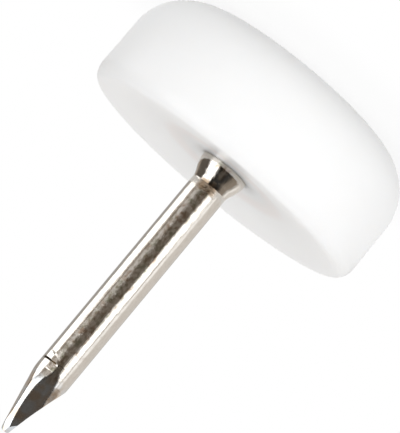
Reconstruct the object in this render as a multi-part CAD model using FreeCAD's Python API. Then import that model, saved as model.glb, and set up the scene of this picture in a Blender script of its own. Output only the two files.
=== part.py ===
"""Nail-on furniture glide: a round plastic pad moulded on to the head of a plated wire nail.

Millimetres, +Z up. The origin is the centre of the sliding face, which stands on the floor. The nail runs
up the pad's axis with its point on top, ready to be driven into the end of a furniture leg. -Y is the front.
"""
import FreeCAD, Part
import math
import os

# Pad: a turned form with a flat sliding face below and a dished seat above
PAD_DIAMETER = 20.0
PAD_HEIGHT = 7.7
WALL_DRAFT_DEG = 0.6
SLIDE_EDGE_RADIUS = 3.6
SEAT_EDGE_RADIUS = 0.6
SEAT_LAND_WIDTH = 0.4
DISH_DEPTH = 0.7

# Nail: its broad head lies in the pad, above a wear layer of plastic
NAIL_LENGTH = 25.0
WIRE_DIAMETER = 2.5
WEAR_LAYER = 3.1
HEAD_DIAMETER = 8.0
HEAD_THICKNESS = 1.0

# Collar: the wire's swell below the head, where the heading dies gripped it. It narrows just above the dish
COLLAR_SWELL = 0.4
COLLAR_RIM_HEIGHT = 0.05
COLLAR_SHOULDER_RADIUS = 2.3
COLLAR_FILLET_RADIUS = 1.0

# Point: the wire's end, blunted to a short nose and pinched from all sides by the cutting dies
NOSE_LENGTH = 1.0
NOSE_RADIUS = 0.35
NOSE_EDGE_RADIUS = 0.4
FACET_RUN_OUT = 0.03
# Each facet: the way it faces in degrees, counted from the front towards +X, its distance from the axis at
# the tip, how far below the tip it has run out of the wire, and its bulge half-way (below 0 it is hollow).
# The last two are small nicks, in a corner between two facets and at the tip
FACETS = (
    (-4.0, 0.22, 5.1, 0.185),
    (25.0, 0.17, 4.5, 0.265),
    (75.0, 0.45, 4.45, 0.0),
    (100.0, 0.38, 4.5, 0.0),
    (176.0, 0.24, 4.87, 0.166),
    (-95.0, 0.13, 4.26, -0.118),
    (-42.0, 1.6, 3.9, -0.25),
    (-35.0, 0.02, 1.55, -0.08),
)

AXIS = FreeCAD.Vector(0, 0, 1)
FRONT_DEG = -90
FULL_TURN_DEG = 360
SEAT_FLOOR = PAD_HEIGHT - DISH_DEPTH
TIP_HEIGHT = WEAR_LAYER + NAIL_LENGTH


def point(radius, height):
    """A point of a profile, in the XZ plane."""
    return FreeCAD.Vector(radius, 0, height)


def line(start, end):
    return Part.LineSegment(start, end).toShape()


def arc(centre, radius, start_deg, end_deg):
    """An arc of a profile. Angles are counted from +X towards +Z."""
    angles = (math.radians(a) for a in (start_deg, (start_deg + end_deg) / 2, end_deg))
    spots = [centre + point(radius * math.cos(a), radius * math.sin(a)) for a in angles]
    return Part.Arc(*spots).toShape()


def first(edge):
    return edge.valueAt(edge.FirstParameter)


def last(edge):
    return edge.valueAt(edge.LastParameter)


def turned(curves, foot, top):
    """Solid of revolution about Z, from foot to top on the axis. Straight runs join the curves up."""
    edges = []
    here = foot
    for curve in curves:
        if (first(curve) - here).Length > Part.Precision.confusion():
            edges.append(line(here, first(curve)))
        edges.append(curve)
        here = last(curve)
    if (top - here).Length > Part.Precision.confusion():
        edges.append(line(here, top))
    edges.append(line(top, foot))
    return Part.Face(Part.Wire(edges)).revolve(FreeCAD.Vector(), AXIS, FULL_TURN_DEG)


def pad_blank():
    """The pad's outer form: sliding face, lower rounding, drafted wall, upper rounding, land and dish."""
    draft = math.radians(WALL_DRAFT_DEG)
    seat_centre = point(PAD_DIAMETER / 2 - SEAT_EDGE_RADIUS, PAD_HEIGHT - SEAT_EDGE_RADIUS)
    # The wall is tangent to both roundings, so their centres lie along it, apart by the radii's difference
    drop = seat_centre.z - SLIDE_EDGE_RADIUS
    inset = (SLIDE_EDGE_RADIUS - SEAT_EDGE_RADIUS) / math.cos(draft) + drop * math.tan(draft)
    slide_centre = point(seat_centre.x - inset, SLIDE_EDGE_RADIUS)
    slide_edge = arc(slide_centre, SLIDE_EDGE_RADIUS, -90, -WALL_DRAFT_DEG)
    seat_edge = arc(seat_centre, SEAT_EDGE_RADIUS, -WALL_DRAFT_DEG, 90)
    dish_rim = seat_centre.x - SEAT_LAND_WIDTH
    dish_radius = (dish_rim**2 + DISH_DEPTH**2) / (2 * DISH_DEPTH)
    dish_spread = math.degrees(math.asin(dish_rim / dish_radius))
    dish = arc(point(0, SEAT_FLOOR + dish_radius), dish_radius, dish_spread - 90, -90)
    return turned([slide_edge, seat_edge, dish], point(0, 0), point(0, SEAT_FLOOR))


def nail_blank():
    """The nail before it is pinched: head, neck, collar, shank and short nose, turned about Z."""
    wire = WIRE_DIAMETER / 2
    neck = wire + COLLAR_SWELL
    head = HEAD_DIAMETER / 2
    head_top = WEAR_LAYER + HEAD_THICKNESS
    head_rim = line(point(head, WEAR_LAYER), point(head, head_top))

    # The collar's rounded shoulder runs into a fillet, each tangent to the other and to the neck or the wire
    bends = COLLAR_SHOULDER_RADIUS + COLLAR_FILLET_RADIUS
    lean = math.acos(1 - COLLAR_SWELL / bends)
    lean_deg = math.degrees(lean)
    shoulder_height = SEAT_FLOOR + COLLAR_RIM_HEIGHT
    fillet_height = shoulder_height + bends * math.sin(lean)
    neck_run = line(point(neck, head_top), point(neck, shoulder_height))
    shoulder = arc(point(neck - COLLAR_SHOULDER_RADIUS, shoulder_height), COLLAR_SHOULDER_RADIUS, 0, lean_deg)
    fillet = arc(point(wire + COLLAR_FILLET_RADIUS, fillet_height), COLLAR_FILLET_RADIUS, 180 + lean_deg, 180)

    # The nose is a cone from the wire to the rounded edge of the tip, tangent to it
    slope = math.atan((wire - NOSE_RADIUS) / NOSE_LENGTH)
    tip_edge_x = NOSE_RADIUS - NOSE_EDGE_RADIUS * math.tan(math.pi / 4 - slope / 2)
    tip_centre = point(tip_edge_x, TIP_HEIGHT - NOSE_EDGE_RADIUS)
    tip_edge = arc(tip_centre, NOSE_EDGE_RADIUS, math.degrees(slope), 90)
    shank = line(last(fillet), point(wire, TIP_HEIGHT - NOSE_LENGTH))
    curves = [head_rim, neck_run, shoulder, fillet, shank, tip_edge]
    return turned(curves, point(0, WEAR_LAYER), point(0, TIP_HEIGHT))


def facet_waste(facing_deg, tip_distance, length, bulge):
    """The metal that one die takes off: all that lies outside a parabola from the tip to past the wire."""
    skin = WIRE_DIAMETER / 2 + FACET_RUN_OUT
    clear = WIRE_DIAMETER
    tip = point(tip_distance, TIP_HEIGHT)
    foot = point(skin, TIP_HEIGHT - length)
    # A parabola passes half-way between the middle of its chord and its middle pole
    middle = (tip + foot) / 2 + point(2 * bulge, 0)
    facet = Part.BezierCurve()
    facet.setPoles([tip, middle, foot])
    above = tip.z + clear
    outside = [foot, point(clear, foot.z), point(clear, above), point(tip_distance, above), tip]
    outline = Part.Wire([facet.toShape(), *Part.makePolygon(outside).Edges])
    waste = Part.Face(outline).extrude(FreeCAD.Vector(0, 2 * clear, 0))
    waste.translate(FreeCAD.Vector(0, -clear, 0))
    waste.rotate(FreeCAD.Vector(), AXIS, FRONT_DEG + facing_deg)
    return waste


def make_nail():
    return nail_blank().cut([facet_waste(*facet) for facet in FACETS])


def make_pad(nail):
    """The pad is moulded round the nail, so its cavity is the nail's own form."""
    return pad_blank().cut(nail)


os.makedirs("parts", exist_ok=True)
nail = make_nail()
pieces = {"nail": nail, "glide_pad": make_pad(nail)}
for name, shape in pieces.items():
    solid = shape.removeSplitter().Solids[0]
    solid.exportStep(f"parts/{name}.step")
    box = solid.BoundBox
    print(f"{name}: {solid.Volume:.1f} mm3, z {box.ZMin:.2f} to {box.ZMax:.2f}, valid {solid.isValid()}")
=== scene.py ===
import math

import bpy
import numpy as np
from mathutils import Matrix, Vector


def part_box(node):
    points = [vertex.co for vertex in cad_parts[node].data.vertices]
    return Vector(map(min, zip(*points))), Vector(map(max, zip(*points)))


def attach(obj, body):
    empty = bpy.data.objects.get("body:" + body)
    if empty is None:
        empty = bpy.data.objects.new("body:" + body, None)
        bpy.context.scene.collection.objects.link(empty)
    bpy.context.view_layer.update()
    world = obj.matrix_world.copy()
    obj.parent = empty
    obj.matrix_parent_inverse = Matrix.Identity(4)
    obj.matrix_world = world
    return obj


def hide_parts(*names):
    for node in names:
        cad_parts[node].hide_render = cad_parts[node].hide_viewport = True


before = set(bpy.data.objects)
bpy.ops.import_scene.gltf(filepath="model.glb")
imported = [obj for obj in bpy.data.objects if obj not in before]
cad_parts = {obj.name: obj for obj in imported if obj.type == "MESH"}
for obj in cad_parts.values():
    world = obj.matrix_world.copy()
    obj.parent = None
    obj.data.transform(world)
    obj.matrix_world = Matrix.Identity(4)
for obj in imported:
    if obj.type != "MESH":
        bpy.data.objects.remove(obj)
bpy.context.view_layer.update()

# Nail: drawn steel wire with an upset head, and a swell where the heading dies gripped. Cutting dies
# pinched the point to six facets and two small nicks. It is barrel-plated with bright nickel, and the
# pad is moulded round its head. Sizes are in millimetres, here and in the other sections.
MM = 0.001
nail_low, nail_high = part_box("nail")
TIP_Z = nail_high.z / MM
HEAD_Z = nail_low.z / MM
HEAD_R = nail_high.x / MM
HEAD_THICK = 1.0
WIRE_R = 1.25
NECK_R = 1.65
RIM_Z = 7.05
SHOULDER_R = 2.3
FILLET_R = 1.0
POINT_LONG = 6.0
NOSE_LONG = 1.0
NOSE_R = 0.35
NOSE_EDGE_R = 0.4
POLE_RING_R = 0.05
LEAST_R = 0.001
NAIL_TURNS = 256

# Each facet: the way it faces in degrees, from the front towards +X, its distance from the axis at the
# tip, how far below the tip it has run out of the wire, and its bulge half-way (below 0 it is hollow).
# The last two are the nicks.
FACETS = (
    (-4.0, 0.22, 5.1, 0.185),
    (25.0, 0.17, 4.5, 0.265),
    (75.0, 0.45, 4.45, 0.0),
    (100.0, 0.38, 4.5, 0.0),
    (176.0, 0.24, 4.87, 0.166),
    (-95.0, 0.13, 4.26, -0.118),
    (-42.0, 1.6, 3.9, -0.25),
    (-35.0, 0.02, 1.55, -0.08),
)
FACET_RUN_OUT = 0.03
FACET_SHARPNESS = 60.0

# Two steps that the dies left across the wire, on the side towards +X. Each: depth below the tip, slant
# per radian round the wire, drop, half its width, and the angles in degrees between which it runs. It
# begins and ends gradually, over some degrees, and fades out on the facets between two depths.
DIE_STEPS = (
    (5.02, 0.06, 0.034, 0.05, 10.0, 80.0),
    (5.34, 0.30, 0.007, 0.10, 26.0, 58.0),
)
STEP_BEGINS_OVER = 10.0
STEP_ENDS_OVER = 12.0
STEP_FADE = (3.2, 4.6)


def straight(start, end, count):
    """Points from start up to but not including end, evenly spaced, each as (radius, height)."""
    share = np.linspace(0, 1, count, endpoint=False)[:, None]
    return np.asarray(start) + share * (np.asarray(end) - np.asarray(start))


def bend(centre, radius, start, end, count):
    """Points on an arc: the centre plus the radius times (cosine, sine) of angles from start to end, in
    radians from outwards to up. The radius is one number, or (across, up) for an ellipse."""
    angle = np.linspace(start, end, count)
    return np.asarray(centre) + np.asarray(radius) * np.stack([np.cos(angle), np.sin(angle)], axis=1)


def lathe(name, radius, height):
    """Closed surface round the axis: row i, column j stands at radius[i, j], height[i] and the j-th
    angle. Angles run from the front towards +X. A single point on the axis closes each end."""
    rows, turns = radius.shape
    angle = np.arange(turns) * (2 * np.pi / turns)
    level = np.broadcast_to(height[:, None], radius.shape)
    grid = np.stack([radius * np.sin(angle), -radius * np.cos(angle), level], axis=2)
    poles = [[0.0, 0.0, height[0]], [0.0, 0.0, height[-1]]]
    points = np.concatenate([grid.reshape(-1, 3), poles]) * MM
    place = np.arange(rows * turns).reshape(rows, turns)
    beside = np.roll(place, -1, axis=1)
    quads = np.stack([place[:-1], beside[:-1], beside[1:], place[1:]], axis=2).reshape(-1, 4)
    foot_fan = np.stack([np.full(turns, rows * turns), beside[0], place[0]], axis=1)
    top_fan = np.stack([np.full(turns, rows * turns + 1), place[-1], beside[-1]], axis=1)
    mesh = bpy.data.meshes.new(name)
    mesh.from_pydata(points.tolist(), [], quads.tolist() + foot_fan.tolist() + top_fan.tolist())
    mesh.shade_smooth()
    piece = bpy.data.objects.new(name, mesh)
    bpy.context.scene.collection.objects.link(piece)
    return piece


def nail_profile():
    """Radius and height along the nail from the head's underside to the tip, before the facets are cut.
    Shoulder and fillet are arcs, tangent to each other, to the neck and to the wire, and the nose is a
    cone that runs into the rounded edge of the tip. Each run ends with its count of points, which are
    closest on the point."""
    bends = SHOULDER_R + FILLET_R
    lean = math.acos(1 - (NECK_R - WIRE_R) / bends)
    fillet_z = RIM_Z + bends * math.sin(lean)
    slope = math.atan((WIRE_R - NOSE_R) / NOSE_LONG)
    tip_x = NOSE_R - NOSE_EDGE_R * math.tan(math.pi / 4 - slope / 2)
    head_top = HEAD_Z + HEAD_THICK
    shoulder = bend((NECK_R - SHOULDER_R, RIM_Z), SHOULDER_R, 0, lean, 24)
    fillet = bend((WIRE_R + FILLET_R, fillet_z), FILLET_R, math.pi + lean, math.pi, 24)
    tip_edge = bend((tip_x, TIP_Z - NOSE_EDGE_R), NOSE_EDGE_R, slope, math.pi / 2, 14)
    point_foot = (WIRE_R, TIP_Z - POINT_LONG)
    nose_foot = (WIRE_R, TIP_Z - NOSE_LONG)
    return np.concatenate([
        straight((POLE_RING_R, HEAD_Z), (HEAD_R, HEAD_Z), 4),
        straight((HEAD_R, HEAD_Z), (HEAD_R, head_top), 4),
        straight((HEAD_R, head_top), (NECK_R, head_top), 4),
        straight((NECK_R, head_top), (NECK_R, RIM_Z), 8),
        shoulder[:-1],
        fillet[:-1],
        straight(fillet[-1], point_foot, 40),
        straight(point_foot, nose_foot, 200),
        straight(nose_foot, tip_edge[0], 36),
        tip_edge[:-1],
        straight(tip_edge[-1], (0.0, TIP_Z), 5),
    ])


def eased(value, start, end):
    """0 before start, 1 after end, and an even S between them."""
    share = np.clip((value - start) / (end - start), 0, 1)
    return share * share * (3 - 2 * share)


def pinched(radius, height, turns):
    """Cuts the point. A facet's distance from the axis is a straight run from the tip to the wire's
    skin plus a parabola of its bulge. At each angle the radius is the least of the round form's and the
    facets' own, which is that distance over the cosine of the angle to it, as a power mean so that the
    ridges come out soft. Then each die step lowers its side a little, from there to the tip."""
    angle = np.arange(turns) * (2 * np.pi / turns)
    below = TIP_Z - height
    shrink = np.repeat(np.maximum(radius, LEAST_R)[:, None], turns, axis=1) ** -FACET_SHARPNESS
    skin = WIRE_R + FACET_RUN_OUT
    for facing, tip_distance, length, bulge in FACETS:
        share = np.clip(below / length, 0, 1)
        distance = tip_distance + (skin - tip_distance) * share + 4 * bulge * share * (1 - share)
        distance += np.maximum(below - length, 0)
        reach = np.maximum(np.cos(angle - math.radians(facing)), 0.0)
        shrink += (reach[None, :] / distance[:, None]) ** FACET_SHARPNESS
    form = shrink ** (-1 / FACET_SHARPNESS)
    fade = eased(below, *STEP_FADE)[:, None]
    around = np.degrees(angle)
    for depth, slant, drop, width, start, end in DIE_STEPS:
        begun = eased(around, start - STEP_BEGINS_OVER, start + STEP_BEGINS_OVER)
        ended = eased(around, end - STEP_ENDS_OVER, end + STEP_ENDS_OVER)
        up_to = (depth + slant * angle)[None, :] - below[:, None]
        form -= drop * eased(up_to, -width, width) * fade * (begun * (1 - ended))[None, :]
    return form


def add(tree, kind, inputs=None, **settings):
    """Adds one node. Settings are its properties. Each input is a value or the socket that feeds it."""
    node = tree.nodes.new(kind)
    for key, value in settings.items():
        setattr(node, key, value)
    for key, value in (inputs or {}).items():
        if isinstance(value, bpy.types.NodeSocket):
            tree.links.new(value, node.inputs[key])
        else:
            node.inputs[key].default_value = value
    return node


def linear(hex_colour):
    """An sRGB hex colour as linear red, green, blue and alpha."""
    srgb = np.array([int(hex_colour[i:i + 2], 16) for i in (1, 3, 5)]) / 255
    rgb = np.where(srgb <= 0.04045, srgb / 12.92, ((srgb + 0.055) / 1.055) ** 2.4)
    return (*rgb.tolist(), 1.0)


def bare_material(name):
    """A new material, and its node tree with nothing in it."""
    material = bpy.data.materials.new(name)
    material.use_nodes = True
    material.node_tree.nodes.clear()
    return material, material.node_tree


def off_by(tree, value, middle):
    """How far a value lies from the middle, to either side."""
    gap = add(tree, "ShaderNodeMath", {0: value, 1: middle}, operation="SUBTRACT").outputs[0]
    return add(tree, "ShaderNodeMath", {0: gap}, operation="ABSOLUTE").outputs[0]


# Marks on the plating: the line down front and back that is rubbed most, a brown band across the
# shank just above the fillet, the dark corner under the first die step, the burr along the tip's edge,
# which leans outwards as it goes down, and the depths between which the drawn wire gives way to the cut
# point.
RUB_X = 0.12
BROWN_BAND_Z = 8.75
CREASE_BELOW_STEP = 0.03
BURR_X = 0.25
BURR_LEAN = 0.38
CUT_FADE = (3.6, 4.6)


def stains(tree, where, aside, drawn):
    """Patches of tarnish about 0.3 mm wide, dense near the rubbed line and thin to its sides. Drawn is
    1 on the wire and 0 on the cut point, which has none."""
    patch = (1 / (0.26 * MM), 1 / (0.26 * MM), 1 / (0.36 * MM))
    patches = add(tree, "ShaderNodeMapping", {"Vector": where, "Scale": patch}).outputs["Vector"]
    spots = add(tree, "ShaderNodeTexNoise", {
        "Vector": patches, "Scale": 1.0, "Detail": 3.0}).outputs["Fac"]
    dense = add(tree, "ShaderNodeMapRange", {
        "Value": aside, "From Min": 0.35 * MM, "From Max": 0.6 * MM, "To Min": 0.9, "To Max": 0.12},
        interpolation_type="SMOOTHSTEP").outputs["Result"]
    most = add(tree, "ShaderNodeMath", {0: dense, 1: drawn}, operation="MULTIPLY").outputs[0]
    return add(tree, "ShaderNodeMapRange", {
        "Value": spots, "From Min": 0.40, "From Max": 0.64, "To Max": most}).outputs["Result"]


def brown_band(tree, height, aside):
    """A brown band across the shank: near its height, times near the line down front and back."""
    ring = add(tree, "ShaderNodeMapRange", {
        "Value": off_by(tree, height, BROWN_BAND_Z * MM), "From Min": 0.46 * MM, "From Max": 0.26 * MM},
        interpolation_type="SMOOTHSTEP").outputs["Result"]
    faces = add(tree, "ShaderNodeMapRange", {
        "Value": aside, "From Min": 0.85 * MM, "From Max": 0.45 * MM, "To Max": 0.9},
        interpolation_type="SMOOTHSTEP").outputs["Result"]
    return add(tree, "ShaderNodeMath", {0: ring, 1: faces}, operation="MULTIPLY").outputs[0]


def die_crease(tree, spot):
    """A dark line under the first die step: near its height, times towards +X, times towards -Y."""
    crease_z = (TIP_Z - DIE_STEPS[0][0] - CREASE_BELOW_STEP) * MM
    line = add(tree, "ShaderNodeMapRange", {
        "Value": off_by(tree, spot["Z"], crease_z), "From Min": 0.09 * MM,
        "From Max": 0.04 * MM}).outputs["Result"]
    begun = add(tree, "ShaderNodeMapRange", {
        "Value": spot["X"], "From Min": 0.18 * MM, "From Max": 0.32 * MM}).outputs["Result"]
    going_on = add(tree, "ShaderNodeMapRange", {
        "Value": spot["Y"], "From Min": -0.20 * MM, "From Max": -0.50 * MM}).outputs["Result"]
    run = add(tree, "ShaderNodeMath", {0: begun, 1: going_on}, operation="MULTIPLY").outputs[0]
    return add(tree, "ShaderNodeMath", {0: line, 1: run}, operation="MULTIPLY").outputs[0]


def tip_burr(tree, spot):
    """A grey strip beside the tip: all that is past a leaning line, times the last millimetre."""
    from_tip = add(tree, "ShaderNodeMath", {0: TIP_Z * MM, 1: spot["Z"]}, operation="SUBTRACT").outputs[0]
    edge = add(tree, "ShaderNodeMath", {
        0: from_tip, 1: BURR_LEAN, 2: BURR_X * MM}, operation="MULTIPLY_ADD").outputs[0]
    past_edge = add(tree, "ShaderNodeMath", {0: spot["X"], 1: edge}, operation="SUBTRACT").outputs[0]
    at_edge = add(tree, "ShaderNodeMapRange", {
        "Value": past_edge, "From Min": 0.0, "From Max": 0.03 * MM}).outputs["Result"]
    near_tip = add(tree, "ShaderNodeMapRange", {
        "Value": from_tip, "From Min": 0.95 * MM, "From Max": 0.75 * MM}).outputs["Result"]
    return add(tree, "ShaderNodeMath", {0: at_edge, 1: near_tip}, operation="MULTIPLY").outputs[0]


def nickel_plating():
    """Bright nickel over drawn steel: a warm mirror with a mottled gloss and faint draw lines along the
    wire. The cut point is duller, under a film that shifts from pinkish to bluish. Each mark mixes its
    tone over the rest by its own share."""
    material, tree = bare_material("bright_nickel_plating")
    where = add(tree, "ShaderNodeTexCoord").outputs["Object"]
    spot = add(tree, "ShaderNodeSeparateXYZ", {0: where}).outputs
    aside = off_by(tree, spot["X"], RUB_X * MM)
    cut = add(tree, "ShaderNodeMapRange", {
        "Value": spot["Z"], "From Min": (TIP_Z - CUT_FADE[1]) * MM,
        "From Max": (TIP_Z - CUT_FADE[0]) * MM}).outputs["Result"]
    drawn = add(tree, "ShaderNodeMath", {0: 1.0, 1: cut}, operation="SUBTRACT").outputs[0]

    hue = add(tree, "ShaderNodeTexNoise", {
        "Vector": where, "Scale": 1 / (0.7 * MM), "Detail": 2.0}).outputs["Fac"]
    shift = add(tree, "ShaderNodeMapRange", {
        "Value": hue, "From Min": 0.40, "From Max": 0.60}).outputs["Result"]
    film = add(tree, "ShaderNodeMix", {
        "Factor": shift, "A": linear("#cfc0b0"), "B": linear("#d2d6da")},
        data_type="RGBA").outputs["Result"]
    soil = add(tree, "ShaderNodeMix", {
        "Factor": shift, "A": linear("#a18b78"), "B": linear("#9a9a86")},
        data_type="RGBA").outputs["Result"]
    marks = (
        (cut, film),
        (stains(tree, where, aside, drawn), soil),
        (brown_band(tree, spot["Z"], aside), linear("#87745f")),
        (die_crease(tree, spot), linear("#3b3020")),
        (tip_burr(tree, spot), linear("#83827e")),
    )
    colour = linear("#dcd7d0")
    for share, tone in marks:
        colour = add(tree, "ShaderNodeMix", {
            "Factor": share, "A": colour, "B": tone}, data_type="RGBA").outputs["Result"]

    mottle = add(tree, "ShaderNodeTexNoise", {
        "Vector": where, "Scale": 1 / (0.45 * MM), "Detail": 4.0}).outputs["Fac"]
    wire_gloss = add(tree, "ShaderNodeMapRange", {
        "Value": mottle, "From Min": 0.35, "From Max": 0.7,
        "To Min": 0.06, "To Max": 0.15}).outputs["Result"]
    gloss = add(tree, "ShaderNodeMix", {"Factor": cut, "A": wire_gloss, "B": 0.22}).outputs["Result"]
    draw_line = (1 / (0.16 * MM), 1 / (0.16 * MM), 1 / (6.0 * MM))
    along = add(tree, "ShaderNodeMapping", {"Vector": where, "Scale": draw_line}).outputs["Vector"]
    lines = add(tree, "ShaderNodeTexNoise", {"Vector": along, "Scale": 1.0, "Detail": 3.0}).outputs["Fac"]
    waves = add(tree, "ShaderNodeMath", {0: mottle, 1: 1.2, 2: lines}, operation="MULTIPLY_ADD").outputs[0]
    relief = add(tree, "ShaderNodeBump", {
        "Height": waves, "Strength": 1.0, "Distance": 0.009 * MM}).outputs["Normal"]
    shader = add(tree, "ShaderNodeBsdfPrincipled", {
        "Base Color": colour, "Metallic": 1.0, "Roughness": gloss, "Normal": relief})
    add(tree, "ShaderNodeOutputMaterial", {"Surface": shader.outputs[0]})
    return material


profile = nail_profile()
nail = lathe("plated_nail", pinched(profile[:, 0], profile[:, 1], NAIL_TURNS), profile[:, 1])
nail.data.materials.append(nickel_plating())
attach(nail, "root")
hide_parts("nail")

# Pad: white polyethylene, injection-moulded round the nail's head in one shot. It is a little
# translucent, with a satin skin from the mould. The flat face slides on the floor, and the land round
# the dish seats on the leg.
pad_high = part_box("glide_pad")[1]
PAD_R = pad_high.x / MM
PAD_Z = pad_high.z / MM
WALL_DRAFT = math.radians(0.6)
SLIDE_EDGE_R = 3.6
SEAT_EDGE_R = 0.6
SEAT_EDGE_HIGH = 1.0
LAND_WIDE = 0.4
DISH_DEEP = 0.70
PAD_TURNS = 256


def pad_profile():
    """Radius and height from the sliding face's centre, up the wall and over the dish, then down the
    nail's cavity to the axis. The wall leans by its draft between the lower rounding, an arc, and the
    upper one, a quarter ellipse. The dish is an arc through the land's inner edge, its depth below the
    land on the axis."""
    seat_x = PAD_R - SEAT_EDGE_R
    wall_high = PAD_Z - SEAT_EDGE_R - SLIDE_EDGE_R
    inset = (SLIDE_EDGE_R - SEAT_EDGE_R) / math.cos(WALL_DRAFT) + wall_high * math.tan(WALL_DRAFT)
    slide_edge = bend((seat_x - inset, SLIDE_EDGE_R), SLIDE_EDGE_R, -math.pi / 2, -WALL_DRAFT, 40)
    seat_centre = (seat_x, PAD_Z - SEAT_EDGE_HIGH)
    seat_edge = bend(seat_centre, (SEAT_EDGE_R, SEAT_EDGE_HIGH), -WALL_DRAFT, math.pi / 2, 24)
    dish_rim = seat_x - LAND_WIDE
    dish_r = (dish_rim**2 + DISH_DEEP**2) / (2 * DISH_DEEP)
    dish_centre = (0.0, PAD_Z - DISH_DEEP + dish_r)
    at_rim = math.asin(dish_rim / dish_r) - math.pi / 2
    at_neck = math.asin(NECK_R / dish_r) - math.pi / 2
    dish = bend(dish_centre, dish_r, at_rim, at_neck, 40)
    head_top = HEAD_Z + HEAD_THICK
    return np.concatenate([
        straight((POLE_RING_R, 0.0), slide_edge[0], 16),
        slide_edge[:-1],
        straight(slide_edge[-1], seat_edge[0], 16),
        seat_edge[:-1],
        straight(seat_edge[-1], dish[0], 4),
        dish[:-1],
        straight(dish[-1], (NECK_R, head_top), 8),
        straight((NECK_R, head_top), (HEAD_R, head_top), 4),
        straight((HEAD_R, head_top), (HEAD_R, HEAD_Z), 4),
        straight((HEAD_R, HEAD_Z), (0.0, HEAD_Z), 4),
    ])


def moulded_polyethylene():
    """Natural white polyethylene: light goes some millimetres into it, under a satin skin with a fine
    mould grain. Its white is faintly clouded, and a warm painted shade in a ring round the axis stands
    for the nail's head showing through, where the head's rim lies below the dish."""
    material, tree = bare_material("moulded_white_polyethylene")
    where = add(tree, "ShaderNodeTexCoord").outputs["Object"]
    cloud = add(tree, "ShaderNodeTexNoise", {
        "Vector": where, "Scale": 1 / (4.0 * MM), "Detail": 2.0}).outputs["Fac"]
    clear = add(tree, "ShaderNodeMix", {
        "Factor": cloud, "A": linear("#f3f3f2"), "B": linear("#f6f6f6")},
        data_type="RGBA").outputs["Result"]
    across = add(tree, "ShaderNodeVectorMath", {
        0: where, 1: (1.0, 1.0, 0.0)}, operation="MULTIPLY").outputs[0]
    off_axis = add(tree, "ShaderNodeVectorMath", {0: across}, operation="LENGTH").outputs["Value"]
    # Painted shade: a warmer, darker ring round the axis for the nail's head seen through the plastic.
    painted_head_shade = add(tree, "ShaderNodeMapRange", {
        "Value": off_by(tree, off_axis, (HEAD_R - 0.2) * MM), "From Min": 1.3 * MM, "From Max": 0.2 * MM},
        interpolation_type="SMOOTHSTEP").outputs["Result"]
    colour = add(tree, "ShaderNodeMix", {
        "Factor": painted_head_shade, "A": clear, "B": linear("#f1ecea")}, data_type="RGBA").outputs["Result"]

    grain = add(tree, "ShaderNodeTexNoise", {
        "Vector": where, "Scale": 1 / (0.25 * MM), "Detail": 3.0}).outputs["Fac"]
    gloss = add(tree, "ShaderNodeMapRange", {
        "Value": grain, "To Min": 0.30, "To Max": 0.40}).outputs["Result"]
    relief = add(tree, "ShaderNodeBump", {
        "Height": grain, "Strength": 0.05, "Distance": 0.02 * MM}).outputs["Normal"]
    shader = add(tree, "ShaderNodeBsdfPrincipled", {
        "Base Color": colour, "Roughness": gloss, "IOR": 1.52, "Normal": relief,
        "Subsurface Weight": 1.0, "Subsurface Radius": (1.0, 0.97, 0.94), "Subsurface Scale": 5.0 * MM})
    add(tree, "ShaderNodeOutputMaterial", {"Surface": shader.outputs[0]})
    return material


outline = pad_profile()
pad = lathe("moulded_pad", np.repeat(outline[:, :1], PAD_TURNS, axis=1), outline[:, 1])
pad.data.materials.append(moulded_polyethylene())
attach(pad, "root")
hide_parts("glide_pad")

# Floor: a round table top of matt white laminate that the pad stands on. It keeps part of the pad's
# shadow, which fades out round it, and glows a little under the pad's rounding. It ends before the nail
# can mirror it.
FLOOR_R = 46.0
FLOOR_THICK = 1.0
FLOOR_TURNS = 128
FLOOR_SHADOW = 0.12
SHADOW_FADE = (13.0, 24.0)
FLOOR_GLOW = 0.28
GLOW_FADE = (7.0, 8.8)


def white_laminate():
    """Matt white laminate. Rays from the camera, off gloss and through clear things see plain white,
    with part of the shading that falls on it. The rest see it as it is lit, and its glow."""
    material, tree = bare_material("white_table_top")
    path = add(tree, "ShaderNodeLightPath").outputs
    first_seen = add(tree, "ShaderNodeMath", {
        0: path["Is Camera Ray"], 1: path["Is Glossy Ray"]}, operation="MAXIMUM").outputs[0]
    seen = add(tree, "ShaderNodeMath", {
        0: first_seen, 1: path["Is Transmission Ray"]}, operation="MAXIMUM").outputs[0]
    where = add(tree, "ShaderNodeTexCoord").outputs["Object"]
    from_middle = add(tree, "ShaderNodeVectorMath", {0: where}, operation="LENGTH").outputs["Value"]
    unshaded = add(tree, "ShaderNodeMapRange", {
        "Value": from_middle, "From Min": SHADOW_FADE[0] * MM, "From Max": SHADOW_FADE[1] * MM,
        "To Min": 1 - FLOOR_SHADOW, "To Max": 1.0}, interpolation_type="SMOOTHSTEP").outputs["Result"]
    clear = add(tree, "ShaderNodeMath", {0: seen, 1: unshaded}, operation="MULTIPLY").outputs[0]
    glow = add(tree, "ShaderNodeMapRange", {
        "Value": from_middle, "From Min": GLOW_FADE[1] * MM, "From Max": GLOW_FADE[0] * MM,
        "To Max": FLOOR_GLOW}, interpolation_type="SMOOTHSTEP").outputs["Result"]
    share = add(tree, "ShaderNodeMath", {0: clear, 1: glow}, operation="MAXIMUM").outputs[0]
    lit = add(tree, "ShaderNodeBsdfDiffuse", {"Color": linear("#f0f0f0")}).outputs[0]
    plain = add(tree, "ShaderNodeEmission", {"Color": linear("#ffffff"), "Strength": 1.0}).outputs[0]
    shader = add(tree, "ShaderNodeMixShader", {"Fac": share, 1: lit, 2: plain})
    add(tree, "ShaderNodeOutputMaterial", {"Surface": shader.outputs[0]})
    return material


floor_radius = np.array([[FLOOR_R / 2], [FLOOR_R], [FLOOR_R]])
floor_height = np.array([-FLOOR_THICK, -FLOOR_THICK, 0.0])
floor = lathe("table_top", np.repeat(floor_radius, FLOOR_TURNS, axis=1), floor_height)
floor.data.materials.append(white_laminate())

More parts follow.
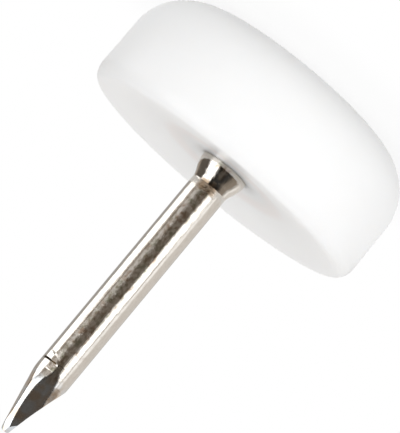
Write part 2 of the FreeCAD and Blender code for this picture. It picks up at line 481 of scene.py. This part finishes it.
# Light: a white cloth tent, open and dark towards the camera, with one soft lamp inside. What mirrors
# see of it is given as (azimuth, brightness) round three walls, one above the other, and a roof.
# Azimuth is in degrees, from the camera towards +X.
TENT_LOW = (
    (-180, 0.45), (-162, 0.55), (-148, 0.74), (-92, 0.80), (-83, 0.82), (-76, 1.32), (-66, 1.32),
    (-61, 0.58), (-57, 0.80), (-52, 2.4), (-30, 2.4), (-16, 0.17), (28, 0.17), (39, 0.60),
    (54, 0.62), (62, 0.26), (70, 0.32), (79, 2.4), (111, 2.4), (122, 0.44), (180, 0.44),
)
TENT_MIDDLE = (
    (-180, 0.80), (-125, 0.80), (-112, 1.20), (-104, 0.80), (-97, 0.45), (-90, 0.28), (-60, 0.24),
    (-50, 0.11), (-38, 0.04), (-24, 0.04), (-15, 0.085), (-1, 0.085), (8, 0.04), (20, 0.04), (28, 2.4),
    (70, 2.4), (76, 0.10), (124, 0.12), (138, 0.36), (150, 0.48), (168, 0.60), (180, 0.80),
)
TENT_HIGH = (
    (-180, 1.00), (-72, 1.00), (-62, 0.24), (-46, 0.10), (-36, 0.03), (20, 0.03),
    (28, 2.4), (70, 2.4), (76, 0.10), (122, 0.10), (134, 0.85), (180, 0.85),
)
TENT_ROOF = 1.3

# Each rise is the elevations in degrees between which the next wall or the roof takes over. Shade is
# warm, the other greys are a little warm, and all rays but mirrored ones see the tent as one even tone.
MIDDLE_RISE = (-5.5, -1.0)
HIGH_RISE = (36.0, 42.0)
ROOF_RISE = (50.0, 60.0)
SHADE_LEVELS = (0.08, 0.4)
SHADE_WARMTH = 0.16
WHITE_LEVEL = 0.9
GREY_WARMTH = 0.04
EVEN_TONE = 0.84
LAMP_AZIMUTH = math.radians(-13)
LAMP_ELEVATION = math.radians(2)
LAMP_AWAY = 400.0
LAMP_WIDE = 120.0
LAMP_WATTS = 0.45

world = bpy.data.worlds.new("white_tent")
bpy.context.scene.world = world
world.use_nodes = True
sky = world.node_tree
sky.nodes.clear()
way = add(sky, "ShaderNodeSeparateXYZ", {0: add(sky, "ShaderNodeTexCoord").outputs["Generated"]}).outputs
to_camera = add(sky, "ShaderNodeMath", {0: way["Y"], 1: -1.0}, operation="MULTIPLY").outputs[0]
azimuth = add(sky, "ShaderNodeMath", {0: way["X"], 1: to_camera}, operation="ARCTAN2").outputs[0]
elevation = add(sky, "ShaderNodeMath", {0: way["Z"]}, operation="ARCSINE").outputs[0]
turn = add(sky, "ShaderNodeMapRange", {
    "Value": azimuth, "From Min": -math.pi, "From Max": math.pi}).outputs["Result"]


def tent_wall(levels):
    """A wall's brightness as a ramp over azimuth. Its shaded parts are warm and the rest of its greys a
    little: red is raised and blue lowered by that share."""
    ramp = add(sky, "ShaderNodeValToRGB", {"Fac": turn})
    stops = ramp.color_ramp.elements
    for _ in range(len(levels) - len(stops)):
        stops.new(0.5)
    for stop, (degrees, level) in zip(stops, levels):
        stop.position = (degrees + 180) / 360
        warmth = GREY_WARMTH if level < WHITE_LEVEL else 0.0
        if SHADE_LEVELS[0] < level < SHADE_LEVELS[1]:
            warmth = SHADE_WARMTH
        stop.color = (level * (1 + warmth), level, level * (1 - warmth), 1.0)
    return ramp.outputs["Color"]


rises = (
    (MIDDLE_RISE, tent_wall(TENT_MIDDLE)),
    (HIGH_RISE, tent_wall(TENT_HIGH)),
    (ROOF_RISE, (TENT_ROOF, TENT_ROOF, TENT_ROOF, 1.0)),
)
tent = tent_wall(TENT_LOW)
for (start, end), above in rises:
    risen = add(sky, "ShaderNodeMapRange", {
        "Value": elevation, "From Min": math.radians(start), "From Max": math.radians(end)},
        interpolation_type="SMOOTHSTEP").outputs["Result"]
    tent = add(sky, "ShaderNodeMix", {
        "Factor": risen, "A": tent, "B": above}, data_type="RGBA").outputs["Result"]
rays = add(sky, "ShaderNodeLightPath").outputs
lighting = add(sky, "ShaderNodeMix", {
    "Factor": rays["Is Glossy Ray"], "A": (EVEN_TONE, EVEN_TONE, EVEN_TONE, 1.0), "B": tent},
    data_type="RGBA").outputs["Result"]
seen = add(sky, "ShaderNodeMath", {
    0: rays["Is Camera Ray"], 1: rays["Is Transmission Ray"]}, operation="MAXIMUM").outputs[0]
backdrop = add(sky, "ShaderNodeMix", {
    "Factor": seen, "A": lighting, "B": linear("#ffffff")}, data_type="RGBA").outputs["Result"]
background = add(sky, "ShaderNodeBackground", {"Color": backdrop, "Strength": 1.0})
add(sky, "ShaderNodeOutputWorld", {"Surface": background.outputs[0]})

lamp = bpy.data.lights.new("key_lamp", "AREA")
lamp.size = LAMP_WIDE * MM
lamp.energy = LAMP_WATTS
key_lamp = bpy.data.objects.new("key_lamp", lamp)
to_lamp = Vector((
    math.sin(LAMP_AZIMUTH) * math.cos(LAMP_ELEVATION),
    -math.cos(LAMP_AZIMUTH) * math.cos(LAMP_ELEVATION),
    math.sin(LAMP_ELEVATION),
))
facing_object = to_lamp.to_track_quat("Z", "Y").to_matrix().to_4x4()
key_lamp.matrix_world = Matrix.Translation(to_lamp * LAMP_AWAY * MM) @ facing_object
key_lamp.visible_camera = False
key_lamp.visible_glossy = False
bpy.context.scene.collection.objects.link(key_lamp)

# Camera: a long lens a little above the seat, rolled so that the nail points down to the left. Its
# target is the middle of the picture, and its focal length gives the picture's scale there.
FRAME_WIDE = 400
FRAME_HIGH = 433
PIXELS_PER_MM = 16.271
CAMERA_AWAY = 333.3
CAMERA_ELEVATION = math.radians(8.067)
CAMERA_ROLL = math.radians(-140.266)
CAMERA_TARGET = Vector((-0.689, 0.893, 10.149)) * MM

right = Vector((1, 0, 0))
up = Vector((0, math.sin(CAMERA_ELEVATION), math.cos(CAMERA_ELEVATION)))
toward = right.cross(up)
picture_right = math.cos(CAMERA_ROLL) * right + math.sin(CAMERA_ROLL) * up
picture_up = math.cos(CAMERA_ROLL) * up - math.sin(CAMERA_ROLL) * right
lens = bpy.data.cameras.new("long_lens")
lens.sensor_width = 36.0
lens.lens = lens.sensor_width * CAMERA_AWAY * PIXELS_PER_MM / max(FRAME_WIDE, FRAME_HIGH)
lens.clip_start = 10 * MM
camera = bpy.data.objects.new("camera", lens)
axes = Matrix((picture_right, picture_up, toward)).transposed().to_4x4()
camera.matrix_world = Matrix.Translation(CAMERA_TARGET + toward * CAMERA_AWAY * MM) @ axes
bpy.context.scene.collection.objects.link(camera)
bpy.context.scene.camera = camera
bpy.context.scene.view_settings.view_transform = "Standard"
